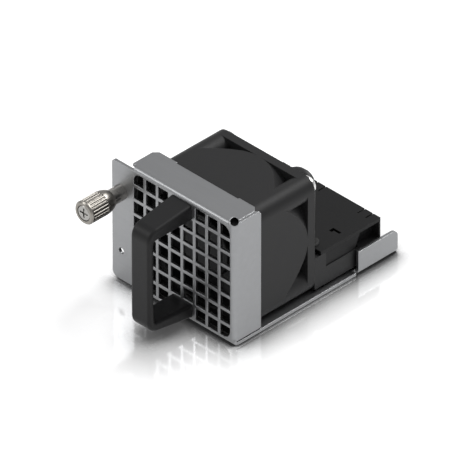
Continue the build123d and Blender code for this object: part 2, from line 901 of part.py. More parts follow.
stator_front = fan_front + stator_set_back
stator_radius = magnet_inner - stator_air_gap
shoe_inner = stator_radius - tooth_shoe
core_ring = sleeve_radius + fit_gap + stator_hub_ring
with BuildPart() as stator_core:
    with BuildSketch(across(stator_front)):
        with Locations((0, fan_axis_z)):
            Circle(stator_radius)
            Circle(shoe_inner, mode=Mode.SUBTRACT)
            with PolarLocations(stator_radius, tooth_count, start_angle=180 / tooth_count):
                Rectangle(3 * tooth_shoe, tooth_slot, mode=Mode.SUBTRACT)
            with PolarLocations((core_ring + shoe_inner) / 2, tooth_count):
                Rectangle(shoe_inner - core_ring + tooth_shoe, tooth_width)
            Circle(core_ring)
            Circle(sleeve_radius + fit_gap, mode=Mode.SUBTRACT)
    extrude(amount=-stator_length)
stator_core.part.label = "stator_core"

winding_start = core_ring + fit_gap
winding_end = shoe_inner - fit_gap
with BuildPart() as stator_windings:
    for index in range(tooth_count):
        turn = 2 * pi * index / tooth_count
        tooth_plane = Plane(
            origin=(
                winding_start * cos(turn),
                stator_front + stator_length / 2,
                fan_axis_z + winding_start * sin(turn),
            ),
            x_dir=(0, 1, 0),
            z_dir=(cos(turn), 0, sin(turn)),
        )
        with BuildSketch(tooth_plane):
            RectangleRounded(
                stator_length + 2 * winding_thickness, tooth_width + 2 * winding_thickness, winding_thickness * 0.9
            )
            Rectangle(stator_length + 2 * fit_gap, tooth_width + 2 * fit_gap, mode=Mode.SUBTRACT)
        extrude(amount=winding_end - winding_start)
    with BuildSketch(across(fan_front)):
        with Locations((0, fan_axis_z)):
            Circle(winding_end)
            Circle(winding_start, mode=Mode.SUBTRACT)
    extrude(amount=-fan_depth, mode=Mode.INTERSECT)
stator_windings.part.label = "stator_windings"

with BuildPart() as motor_board:
    with BuildSketch(across(fan_rear - motor_board_end_gap)):
        with Locations((0, fan_axis_z)):
            Circle(motor_board_radius)
            Circle(sleeve_radius + fit_gap, mode=Mode.SUBTRACT)
    extrude(amount=-motor_board_thickness)
motor_board.part.label = "motor_board"

with BuildPart() as bearing_plug:
    with BuildSketch(across(fan_rear - plug_thickness)):
        with Locations((0, fan_axis_z)):
            Circle(sleeve_radius)
    extrude(amount=-plug_thickness)
bearing_plug.part.label = "bearing_plug"

# Four long screws from behind: the upper two on the fan, the lower two on the housing's wall
fan_rear_plane = across(fan_rear)
wall_rear_plane = across(fan_rear + front_wall)
fan_screws = screw_group(
    [
        (wall_rear_plane, -fan_hole, fan_axis_z - fan_hole),
        (wall_rear_plane, fan_hole, fan_axis_z - fan_hole),
        (fan_rear_plane, -fan_hole, fan_axis_z + fan_hole),
        (fan_rear_plane, fan_hole, fan_axis_z + fan_hole),
    ],
    fan_screw_head_radius,
    fan_screw_head_height,
    fan_screw_radius,
    fan_screw_length,
    toward=-1,
)

# Fan lead: along the strut, over the flange in a hump and down into the housing
lead_y = fan_rear + lead_rear_gap
lead_inside_y = fan_rear - lead_radius - screw_gap
board_top_z = tub_floor_z + board_seat + board_thickness
lead_plug_z = board_top_z + header_height / 2
header_front_y = fan_rear + header_front
lead_route = [
    (
        lead_start_radius * cos(radians(lead_angle)),
        lead_inside_y,
        fan_axis_z + lead_start_radius * sin(radians(lead_angle)),
    ),
    (
        lead_exit_radius * cos(radians(lead_angle)),
        lead_inside_y,
        fan_axis_z + lead_exit_radius * sin(radians(lead_angle)),
    ),
    (lead_hump_x, lead_y, lead_hump_z),
    (lead_drop_x, lead_y, lead_drop_z),
    (lead_drop_x, lead_y, lead_plug_z),
    (lead_drop_x, header_front_y - lead_plug_length + header_wall, lead_plug_z),
]
with BuildPart() as fan_lead:
    with BuildLine() as lead_line:
        FilletPolyline(*lead_route, radius=lead_bend_radius)
    with BuildSketch(lead_line.line ^ 0):
        Circle(lead_radius)
    sweep()
fan_lead.part.label = "fan_lead"

with BuildPart() as lead_grommet:
    grommet_inner = lead_radius + fit_gap
    grommet_outer = grommet_inner + grommet_wall
    with BuildSketch(Plane.XY.offset(cover_under_z)):
        with Locations((lead_drop_x, lead_y)):
            Circle(grommet_outer)
    extrude(amount=cover_thickness)
    with BuildSketch(Plane.XY.offset(housing_top_z)):
        with Locations((lead_drop_x, lead_y)):
            Circle(grommet_outer + grommet_flange)
    extrude(amount=grommet_flange_height)
    chamfer(lead_grommet.faces().sort_by(Axis.Z)[-1].edges(), grommet_flange_height * 0.5)
    with BuildSketch(Plane.XY.offset(cover_under_z)):
        with Locations((lead_drop_x, lead_y)):
            Circle(grommet_inner)
    extrude(amount=cover_thickness + grommet_flange_height, mode=Mode.SUBTRACT)
lead_grommet.part.label = "lead_grommet"

# Connector housing, lower half
pocket_start = fan_rear + skirt_top_end
pocket_inner = housing_half - pocket_depth
inner_half = housing_half - housing_wall
rear_inner = pocket_inner - housing_wall
head_clearance = fan_screw_head_radius + 2 * screw_gap
with BuildPart() as housing_base:
    with BuildSketch(Plane.XY.offset(tub_floor_z)):
        with Locations((0, fan_rear)):
            Rectangle(2 * housing_half, housing_depth, align=(Align.CENTER, Align.MIN))
    extrude(amount=tub_top_z - tub_floor_z)
    # Front wall and corner posts up to the cover
    with BuildSketch(Plane.XY.offset(tub_floor_z)):
        with Locations((0, fan_rear)):
            Rectangle(2 * housing_half, post_depth, align=(Align.CENTER, Align.MIN))
            Rectangle(2 * pocket_inner, housing_depth, align=(Align.CENTER, Align.MIN))
        with Locations((0, housing_rear)):
            Rectangle(2 * housing_half, pocket_rear_wall, align=(Align.CENTER, Align.MAX))
    extrude(amount=cover_under_z - tub_floor_z)
    # The inside, wide beside the board and narrow beside the socket
    with BuildSketch(Plane.XY.offset(tub_floor_z + housing_wall)):
        with Locations((0, fan_rear + front_wall)):
            Rectangle(2 * inner_half, pocket_start - fan_rear - front_wall, align=(Align.CENTER, Align.MIN))
            Rectangle(2 * rear_inner, housing_depth, align=(Align.CENTER, Align.MIN))
    extrude(amount=housing_height, mode=Mode.SUBTRACT)
    # Lower ledge beside the socket
    with BuildSketch(Plane.XY.offset(sheet + ledge_height)):
        with Locations((0, (fan_rear + skirt_foot_end + housing_rear - pocket_rear_wall) / 2)):
            with GridLocations(2 * housing_half - pocket_depth, 1, 2, 1):
                Rectangle(pocket_depth, housing_rear - pocket_rear_wall - fan_rear - skirt_foot_end)
    extrude(amount=tub_top_z - sheet - ledge_height, mode=Mode.SUBTRACT)
    # Feet and board bosses round the tray screws, bosses for the board screws
    with BuildSketch(Plane.XY.offset(sheet)):
        with Locations(*screw_spots):
            Circle(housing_boss_radius)
    extrude(amount=housing_foot + board_seat)
    with BuildSketch(Plane.XY.offset(tub_floor_z)):
        with Locations((-board_screw_x, fan_rear + board_screw_depth), (board_screw_x, fan_rear + board_screw_depth)):
            Circle(housing_boss_radius)
    extrude(amount=board_seat)
    with BuildSketch(Plane.XY.offset(sheet)):
        with Locations(*screw_spots):
            Circle(tray_screw_radius)
    extrude(amount=tray_screw_length + screw_gap - sheet, mode=Mode.SUBTRACT)
    with BuildSketch(Plane.XY.offset(tub_floor_z + board_seat)):
        with Locations((-board_screw_x, fan_rear + board_screw_depth), (board_screw_x, fan_rear + board_screw_depth)):
            Circle(board_screw_radius)
    extrude(amount=-board_screw_depth_below - screw_gap, mode=Mode.SUBTRACT)
    # Holes for the lower fan screws, and room for their heads
    with BuildSketch(across(fan_rear)):
        with Locations((0, fan_axis_z - fan_hole)):
            with GridLocations(fan_hole_spacing, 1, 2, 1):
                Circle(fan_hole_radius)
    extrude(amount=-front_wall, mode=Mode.SUBTRACT)
    with BuildSketch(Plane.XY.offset(tub_floor_z)):
        with Locations((0, fan_rear + front_wall)):
            with GridLocations(fan_hole_spacing, 1, 2, 1):
                Rectangle(
                    2 * head_clearance, fan_screw_head_height + screw_gap, align=(Align.CENTER, Align.MIN)
                )
    extrude(amount=tub_height, mode=Mode.SUBTRACT)
housing_base.part.label = "housing_base"

# Connector housing, cover with its side skirts
with BuildPart() as housing_cover:
    with BuildSketch(Plane.XY.offset(cover_under_z)):
        with Locations((0, fan_rear + cover_front_gap)):
            Rectangle(2 * housing_half, housing_depth - cover_front_gap, align=(Align.CENTER, Align.MIN))
        # Corner voids at the front
        with Locations((0, fan_rear + cover_front_gap)):
            with GridLocations(2 * housing_half, 1, 2, 1):
                Rectangle(2 * corner_void, 2 * (corner_void - cover_front_gap), mode=Mode.SUBTRACT)
        # Slits beside the snap fingers on the rear edge
        for finger_x in snap_finger_spots:
            with Locations((finger_x, housing_rear - snap_finger_length / 2)):
                with GridLocations(snap_finger_width + snap_slit, 1, 2, 1):
                    Rectangle(snap_slit, snap_finger_length, mode=Mode.SUBTRACT)
        # Bent slots over the locking tabs
        for side in (-1, 1):
            with Locations((side * lock_slot_x, fan_rear + lock_slot_depth)):
                Rectangle(lock_slot_length, lock_slot_width, mode=Mode.SUBTRACT)
            with Locations((side * (lock_slot_x - lock_slot_length / 3), fan_rear + lock_slot_depth - lock_slot_width)):
                Rectangle(lock_slot_length / 3, lock_slot_width, mode=Mode.SUBTRACT)
        with Locations((lead_drop_x, lead_y)):
            Circle(lead_radius + 2 * fit_gap + grommet_wall, mode=Mode.SUBTRACT)
    extrude(amount=cover_thickness)
    skirt_front = fan_rear + post_depth + screw_gap
    for side in (-1, 1):
        outside = side * (housing_half - skirt_inset)
        with BuildSketch(Plane.YZ.offset(outside)):
            with BuildLine():
                Polyline(
                    (skirt_front, tub_top_z),
                    (fan_rear + skirt_foot_end, tub_top_z),
                    (fan_rear + skirt_top_end, cover_under_z),
                    (skirt_front, cover_under_z),
                    close=True,
                )
            make_face()
        extrude(amount=-side * housing_wall)
housing_cover.part.label = "housing_cover"

# Board inside the housing
board_front_y = fan_rear + board_front_gap
board_rear_y = housing_rear - board_rear_gap
with BuildPart() as connector_board:
    with BuildSketch(Plane.XY.offset(tub_floor_z + board_seat)):
        with Locations((0, board_front_y)):
            Rectangle(
                2 * (inner_half - board_side_gap),
                pocket_start - board_side_gap - board_front_y,
                align=(Align.CENTER, Align.MIN),
            )
            Rectangle(2 * (rear_inner - screw_gap), board_rear_y - board_front_y, align=(Align.CENTER, Align.MIN))
        with Locations((-board_screw_x, fan_rear + board_screw_depth), (board_screw_x, fan_rear + board_screw_depth)):
            Circle(board_screw_radius + screw_gap, mode=Mode.SUBTRACT)
    extrude(amount=board_thickness)
connector_board.part.label = "connector_board"

with BuildPart() as board_header:
    with BuildSketch(Plane.XY.offset(board_top_z)):
        with Locations((lead_drop_x, header_front_y)):
            Rectangle(header_width, header_depth, align=(Align.CENTER, Align.MIN))
    extrude(amount=header_height)
    with BuildSketch(across(header_front_y)):
        with Locations((lead_drop_x, lead_plug_z)):
            Rectangle(header_width - 2 * header_wall, header_height - 2 * header_wall)
    extrude(amount=-(header_depth - header_wall), mode=Mode.SUBTRACT)
board_header.part.label = "board_header"

with BuildPart() as lead_plug:
    plug_front = header_front_y - lead_plug_length + header_wall
    with BuildSketch(across(plug_front)):
        with Locations((lead_drop_x, lead_plug_z)):
            Rectangle(header_width - 2 * header_wall - 2 * fit_gap, lead_plug_height)
    extrude(amount=-(header_front_y + header_depth / 2 - plug_front))
lead_plug.part.label = "lead_plug"

# Blind-mate socket at the rear, with two rows of leaf contacts
socket_rear = housing_rear - socket_rear_gap
socket_front = socket_rear - socket_depth
socket_top_z = cover_under_z - socket_roof_gap
socket_low = board_top_z + socket_wall
socket_high = socket_top_z - socket_wall
with BuildPart() as rear_connector:
    with BuildSketch(across(socket_front)):
        with Locations((0, (board_top_z + socket_top_z) / 2)):
            Rectangle(socket_width, socket_top_z - board_top_z)
    extrude(amount=-socket_depth)
    with BuildSketch(across(socket_rear)):
        with Locations((0, (socket_low + socket_high) / 2)):
            RectangleRounded(socket_width - 2 * socket_wall, socket_high - socket_low, socket_wall / 2)
    extrude(amount=socket_depth - socket_back, mode=Mode.SUBTRACT)
    mouth = rear_connector.faces().sort_by(Axis.Y)[-1].inner_wires().edges()
    chamfer(mouth, socket_wall / 3)
    with BuildSketch(across(socket_front)):
        with Locations((0, socket_low + contact_thickness / 2), (0, socket_high - contact_thickness / 2)):
            with GridLocations(contact_spacing, 1, contact_count, 1):
                Rectangle(contact_width, contact_thickness)
    extrude(amount=-socket_back, mode=Mode.SUBTRACT)
rear_connector.part.label = "rear_connector"

with BuildPart() as connector_contacts:
    for row_z, tail in ((socket_low + contact_thickness / 2, 1), (socket_high - contact_thickness / 2, 2.5)):
        tail_y = socket_front - tail * contact_thickness
        with BuildSketch(Plane.YZ) as leaf:
            with BuildLine():
                Polyline(
                    (socket_rear - contact_end_gap, row_z),
                    (tail_y, row_z),
                    (tail_y, board_top_z + contact_thickness / 2),
                    (tail_y - 2 * contact_thickness, board_top_z + contact_thickness / 2),
                )
            trace(line_width=contact_thickness)
        for index in range(contact_count):
            place = (index - (contact_count - 1) / 2) * contact_spacing
            extrude(
                Plane.YZ.offset(place - contact_width / 2) * Plane.YZ.to_local_coords(leaf.sketch),
                amount=contact_width,
            )
connector_contacts.part.label = "connector_contacts"

# Screws under the tray and on the board
with BuildPart() as tray_screws:
    for spot in screw_spots:
        with BuildSketch(Plane.XY.offset(tray_screw_head_recess)):
            with Locations(spot):
                Circle(tray_screw_head_radius)
        with BuildSketch(Plane.XY.offset(sheet)):
            with Locations(spot):
                Circle(tray_screw_radius - fit_gap)
        loft()
        with BuildSketch(Plane.XY.offset(sheet)):
            with Locations(spot):
                Circle(tray_screw_radius - fit_gap)
        extrude(amount=tray_screw_length - sheet)
        with BuildSketch(Plane.XY.offset(tray_screw_head_recess)):
            with Locations(spot):
                Rectangle(tray_screw_head_radius, tray_screw_head_radius / 4)
                Rectangle(tray_screw_head_radius / 4, tray_screw_head_radius)
        extrude(amount=sheet / 2, mode=Mode.SUBTRACT)
tray_screws.part.label = "tray_screws"

with BuildPart() as board_screws:
    with BuildSketch(Plane.XY.offset(board_top_z)):
        with Locations((-board_screw_x, fan_rear + board_screw_depth), (board_screw_x, fan_rear + board_screw_depth)):
            Circle(board_screw_head_radius)
    extrude(amount=board_screw_head_height)
    fillet(board_screws.faces().filter_by(Axis.Z).group_by(Axis.Z)[-1].edges(), board_screw_head_height * 0.4)
    with BuildSketch(Plane.XY.offset(board_top_z)):
        with Locations((-board_screw_x, fan_rear + board_screw_depth), (board_screw_x, fan_rear + board_screw_depth)):
            Circle(board_screw_radius - fit_gap)
    extrude(amount=-(board_thickness + board_screw_depth_below))
board_screws.part.label = "board_screws"

carrier.part.label = "carrier"
handle_screws.label = "handle_screws"
fan_screws.label = "fan_screws"

os.makedirs("parts", exist_ok=True)
export_step(carrier.part, "parts/carrier.step")
export_step(handle.part, "parts/handle.step")
export_step(inlet_gasket.part, "parts/inlet_gasket.step")
export_step(handle_screws, "parts/handle_screws.step")
export_step(thumbscrew_knob.part, "parts/thumbscrew_knob.step")
export_step(thumbscrew_shaft.part, "parts/thumbscrew_shaft.step")
export_step(thumbscrew_ferrule.part, "parts/thumbscrew_ferrule.step")
export_step(thumbscrew_clip.part, "parts/thumbscrew_clip.step")
export_step(thumbscrew_spring.part, "parts/thumbscrew_spring.step")
export_step(fan_frame.part, "parts/fan_frame.step")
export_step(impeller.part, "parts/impeller.step")
export_step(rotor_yoke.part, "parts/rotor_yoke.step")
export_step(rotor_magnet.part, "parts/rotor_magnet.step")
export_step(rotor_shaft.part, "parts/rotor_shaft.step")
export_step(shaft_clip.part, "parts/shaft_clip.step")
export_step(bearing_sleeve.part, "parts/bearing_sleeve.step")
export_step(front_bearing.part, "parts/front_bearing.step")
export_step(rear_bearing.part, "parts/rear_bearing.step")
export_step(stator_core.part, "parts/stator_core.step")
export_step(stator_windings.part, "parts/stator_windings.step")
export_step(motor_board.part, "parts/motor_board.step")
export_step(bearing_plug.part, "parts/bearing_plug.step")
export_step(fan_screws, "parts/fan_screws.step")
export_step(fan_lead.part, "parts/fan_lead.step")
export_step(lead_grommet.part, "parts/lead_grommet.step")
export_step(lead_plug.part, "parts/lead_plug.step")
export_step(board_header.part, "parts/board_header.step")
export_step(connector_board.part, "parts/connector_board.step")
export_step(rear_connector.part, "parts/rear_connector.step")
export_step(connector_contacts.part, "parts/connector_contacts.step")
export_step(housing_base.part, "parts/housing_base.step")
export_step(housing_cover.part, "parts/housing_cover.step")
export_step(tray_screws.part, "parts/tray_screws.step")
export_step(board_screws.part, "parts/board_screws.step")
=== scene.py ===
"""A hot-swappable fan module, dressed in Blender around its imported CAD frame.

Lengths are in metres, in the frame of the CAD model: +X to the right of the bezel, +Y from the
bezel into the chassis, +Z up, with the origin under the middle of the tray.
"""

from __future__ import annotations

import json
import logging
import math
from dataclasses import dataclass
from enum import Enum

import bpy
from mathutils import Matrix, Vector

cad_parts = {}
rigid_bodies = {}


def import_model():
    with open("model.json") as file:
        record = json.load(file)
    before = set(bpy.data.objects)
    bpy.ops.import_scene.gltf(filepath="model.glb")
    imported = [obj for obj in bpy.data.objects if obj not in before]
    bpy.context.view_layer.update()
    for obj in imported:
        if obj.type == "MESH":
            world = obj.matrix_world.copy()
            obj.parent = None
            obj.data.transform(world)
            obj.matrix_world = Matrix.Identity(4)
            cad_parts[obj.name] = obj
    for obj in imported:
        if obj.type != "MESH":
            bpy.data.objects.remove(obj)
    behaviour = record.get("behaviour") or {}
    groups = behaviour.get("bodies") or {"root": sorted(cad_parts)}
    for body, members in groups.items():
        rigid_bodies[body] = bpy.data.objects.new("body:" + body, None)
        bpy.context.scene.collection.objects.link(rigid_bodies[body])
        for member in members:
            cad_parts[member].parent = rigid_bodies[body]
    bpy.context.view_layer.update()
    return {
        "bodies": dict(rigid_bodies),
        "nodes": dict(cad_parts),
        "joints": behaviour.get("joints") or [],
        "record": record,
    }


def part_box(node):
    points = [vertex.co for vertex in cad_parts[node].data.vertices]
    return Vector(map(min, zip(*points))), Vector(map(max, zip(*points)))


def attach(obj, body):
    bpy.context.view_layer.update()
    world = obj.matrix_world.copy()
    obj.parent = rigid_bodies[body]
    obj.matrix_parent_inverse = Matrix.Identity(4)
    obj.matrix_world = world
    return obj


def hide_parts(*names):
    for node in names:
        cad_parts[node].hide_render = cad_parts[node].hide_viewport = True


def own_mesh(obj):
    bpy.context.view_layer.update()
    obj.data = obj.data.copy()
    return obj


LOG = logging.getLogger("fan_module")
MM = 0.001

Colour = tuple[float, float, float]
Point = tuple[float, float, float]
Span = tuple[float, float]


class Grain(Enum):
    """How the surface of a finish is broken up."""

    MOULDED = "fine spark-eroded texture of moulded plastic"
    ROLLED = "faint rolling lines of plated sheet"
    TURNED = "rings left by turning"
    PLATED = "smooth bright plating"
    SOFT = "dull moulded rubber"


@dataclass(frozen=True)
class Finish:
    """One real surface finish, named after its material slot in the record.

    The cover's darker plastic has no slot of its own, and is given to its node by name.
    """

    slot: str
    colour: Colour
    roughness: float
    metallic: float = 0.0
    grain: Grain = Grain.MOULDED
    grain_scale: float = 5200.0
    grain_depth: float = 0.012 * MM
    stretch: Point = (1.0, 1.0, 1.0)
    mottle: float = 0.05
    mottle_scale: float = 90.0
    # edge colour: real wear, and on the sheet also a painted highlight along its bends and cut
    # edges
    wear_and_highlight_colour: Colour = (0.3, 0.3, 0.3)
    wear_and_highlight: float = 0.25
    edge_radius: float = 0.18 * MM
    coat: float = 0.0
    specular: float = 0.5


FINISHES: tuple[Finish, ...] = (
    # the sheet's pale edges are partly wear and partly a painted highlight along its bends and cut
    # edges
    Finish("sheet_steel", (0.278, 0.282, 0.288), 0.40, 1.0, Grain.ROLLED, 900.0, 0.003 * MM,
           stretch=(1.0, 9.0, 9.0), mottle_scale=60.0, wear_and_highlight_colour=(0.75, 0.76, 0.77), wear_and_highlight=0.1,
           edge_radius=0.38 * MM),
    Finish("handle_plastic", (0.0078, 0.0078, 0.0082), 0.47, 0.0, Grain.MOULDED, 3600.0, 0.016 * MM,
           wear_and_highlight_colour=(0.035, 0.035, 0.036), wear_and_highlight=0.3, specular=0.24),
    Finish("screw_steel", (0.66, 0.66, 0.65), 0.20, 1.0, Grain.PLATED, 1400.0, 0.002 * MM,
           wear_and_highlight_colour=(0.9, 0.9, 0.9), wear_and_highlight=0.5, edge_radius=0.12 * MM),
    Finish("knob_nickel", (0.25, 0.237, 0.215), 0.33, 1.0, Grain.TURNED, 1600.0, 0.003 * MM,
           wear_and_highlight_colour=(0.50, 0.48, 0.45), wear_and_highlight=0.2, edge_radius=0.12 * MM),
    Finish("shaft_steel", (0.33, 0.325, 0.31), 0.26, 1.0, Grain.TURNED, 1600.0, 0.002 * MM,
           wear_and_highlight_colour=(0.85, 0.84, 0.82), wear_and_highlight=0.6, edge_radius=0.1 * MM),
    Finish("ferrule_steel", (0.42, 0.405, 0.38), 0.30, 1.0, Grain.TURNED, 1600.0, 0.003 * MM,
           wear_and_highlight_colour=(0.8, 0.78, 0.74), wear_and_highlight=0.5, edge_radius=0.1 * MM),
    Finish("clip_steel", (0.22, 0.22, 0.22), 0.4, 1.0, Grain.PLATED, 1400.0, 0.003 * MM,
           wear_and_highlight_colour=(0.6, 0.6, 0.6), wear_and_highlight=0.5, edge_radius=0.08 * MM),
    Finish("spring_steel", (0.5, 0.5, 0.5), 0.24, 1.0, Grain.PLATED, 2400.0, 0.002 * MM,
           wear_and_highlight_colour=(0.8, 0.8, 0.8), wear_and_highlight=0.3, edge_radius=0.05 * MM),
    Finish("fan_plastic", (0.0128, 0.0128, 0.0132), 0.50, 0.0, Grain.MOULDED, 4200.0, 0.014 * MM,
           wear_and_highlight_colour=(0.04, 0.04, 0.04), wear_and_highlight=0.25, specular=0.24),
    Finish("impeller_plastic", (0.011, 0.011, 0.012), 0.40, 0.0, Grain.MOULDED, 5200.0, 0.008 * MM,
           wear_and_highlight_colour=(0.04, 0.04, 0.04), wear_and_highlight=0.25, specular=0.38),
    Finish("yoke_steel", (0.40, 0.40, 0.40), 0.34, 1.0, Grain.TURNED, 1800.0, 0.003 * MM),
    Finish("magnet", (0.05, 0.047, 0.045), 0.7, 0.0, Grain.SOFT, 3000.0, 0.01 * MM),
    Finish("sleeve_brass", (0.62, 0.45, 0.20), 0.28, 1.0, Grain.TURNED, 1800.0, 0.003 * MM,
           wear_and_highlight_colour=(0.85, 0.68, 0.38), wear_and_highlight=0.4),
    Finish("bearing_steel", (0.58, 0.58, 0.58), 0.18, 1.0, Grain.TURNED, 2400.0, 0.001 * MM,
           wear_and_highlight_colour=(0.85, 0.85, 0.85), wear_and_highlight=0.4, edge_radius=0.08 * MM),
    Finish("core_steel", (0.30, 0.31, 0.33), 0.42, 1.0, Grain.ROLLED, 1500.0, 0.012 * MM,
           stretch=(1.0, 9.0, 1.0)),
    Finish("winding_copper", (0.55, 0.20, 0.07), 0.25, 1.0, Grain.PLATED, 2600.0, 0.002 * MM,
           wear_and_highlight_colour=(0.8, 0.4, 0.2), wear_and_highlight=0.2, edge_radius=0.05 * MM, coat=0.4),
    Finish("board", (0.018, 0.11, 0.045), 0.30, 0.0, Grain.PLATED, 1200.0, 0.004 * MM,
           wear_and_highlight_colour=(0.4, 0.42, 0.25), wear_and_highlight=0.4, coat=0.5),
    Finish("gasket_foam", (0.008, 0.008, 0.008), 0.85, 0.0, Grain.SOFT, 1500.0, 0.03 * MM,
           specular=0.2),
    Finish("plug_rubber", (0.022, 0.022, 0.022), 0.66, 0.0, Grain.SOFT, 3000.0, 0.01 * MM),
    Finish("lead_sheath", (0.010, 0.010, 0.0105), 0.48, 0.0, Grain.SOFT, 2600.0, 0.006 * MM,
           wear_and_highlight_colour=(0.06, 0.06, 0.06), wear_and_highlight=0.2),
    Finish("grommet_rubber", (0.007, 0.007, 0.007), 0.70, 0.0, Grain.SOFT, 3000.0, 0.008 * MM),
    Finish("plug_plastic", (0.68, 0.66, 0.58), 0.42, 0.0, Grain.MOULDED, 4200.0, 0.006 * MM,
           wear_and_highlight_colour=(0.8, 0.78, 0.7), wear_and_highlight=0.3),
    Finish("header_plastic", (0.60, 0.58, 0.50), 0.42, 0.0, Grain.MOULDED, 4200.0, 0.006 * MM,
           wear_and_highlight_colour=(0.75, 0.73, 0.66), wear_and_highlight=0.3),
    Finish("connector_plastic", (0.020, 0.020, 0.021), 0.45, 0.0, Grain.MOULDED, 4600.0, 0.010 * MM,
           wear_and_highlight_colour=(0.07, 0.07, 0.07), wear_and_highlight=0.3),
    Finish("contact_metal", (0.80, 0.58, 0.24), 0.20, 1.0, Grain.PLATED, 2400.0, 0.001 * MM,
           wear_and_highlight_colour=(0.9, 0.75, 0.45), wear_and_highlight=0.3, edge_radius=0.05 * MM),
    Finish("housing_plastic", (0.0085, 0.0085, 0.009), 0.50, 0.0, Grain.MOULDED, 3400.0, 0.018 * MM,
           wear_and_highlight_colour=(0.035, 0.035, 0.035), wear_and_highlight=0.35, specular=0.28),
    Finish("cover_plastic", (0.0055, 0.0055, 0.0058), 0.54, 0.0, Grain.MOULDED, 3400.0, 0.018 * MM,
           wear_and_highlight_colour=(0.02, 0.02, 0.02), wear_and_highlight=0.2, specular=0.20),
)


class NodeSheet:
    """A node tree under construction, with short calls to place and join its nodes."""

    def __init__(self, tree: bpy.types.NodeTree) -> None:
        """Args:
            tree: The tree that the nodes go into.
        """
        self.tree = tree

    def add(self, kind: str, **settings: object) -> bpy.types.Node:
        """Place one node.

        Args:
            kind: Blender's name for the node's type.
            **settings: Properties of the node to set.

        Returns:
            The new node.
        """
        node = self.tree.nodes.new(kind)
        for name, value in settings.items():
            setattr(node, name, value)
        return node

    def join(self, source: bpy.types.NodeSocket, target: bpy.types.NodeSocket) -> None:
        """Link an output to an input.

        Args:
            source: The output.
            target: The input.
        """
        self.tree.links.new(source, target)

    def maths(self, operation: str, first: object, second: object = None) -> bpy.types.NodeSocket:
        """Place a Math node.

        Args:
            operation: The Math node's operation.
            first: A socket or a number for the first value.
            second: A socket or a number for the second value, if there is one.

        Returns:
            The node's output socket.
        """
        node = self.add("ShaderNodeMath", operation=operation)
        for place, value in enumerate((first, second)):
            if isinstance(value, bpy.types.NodeSocket):
                self.join(value, node.inputs[place])
            elif value is not None:
                node.inputs[place].default_value = value
        return node.outputs[0]

    def mixed(self, factor: object, low: object, high: object) -> bpy.types.NodeSocket:
        """Mix two colours.

        Args:
            factor: A socket or number, 0 for low and 1 for high.
            low: A socket or an RGB triple.
            high: A socket or an RGB triple.

        Returns:
            The mixed colour.
        """
        node = self.add("ShaderNodeMix", data_type="RGBA")
        factor_in, low_in, high_in = node.inputs[0], node.inputs[6], node.inputs[7]
        for socket, value in ((factor_in, factor), (low_in, low), (high_in, high)):
            if isinstance(value, bpy.types.NodeSocket):
                self.join(value, socket)
            elif isinstance(value, tuple):
                socket.default_value = (*value, 1.0)
            else:
                socket.default_value = value
        return node.outputs[2]

    def ranged(self, value: bpy.types.NodeSocket, span: Span, onto: Span) -> bpy.types.NodeSocket:
        """Map a value from one range onto another, clamped.

        Args:
            value: The socket to map.
            span: The range it comes in.
            onto: The range it goes to.

        Returns:
            The mapped value.
        """
        node = self.add("ShaderNodeMapRange")
        self.join(value, node.inputs["Value"])
        node.inputs["From Min"].default_value, node.inputs["From Max"].default_value = span
        node.inputs["To Min"].default_value, node.inputs["To Max"].default_value = onto
        return node.outputs["Result"]


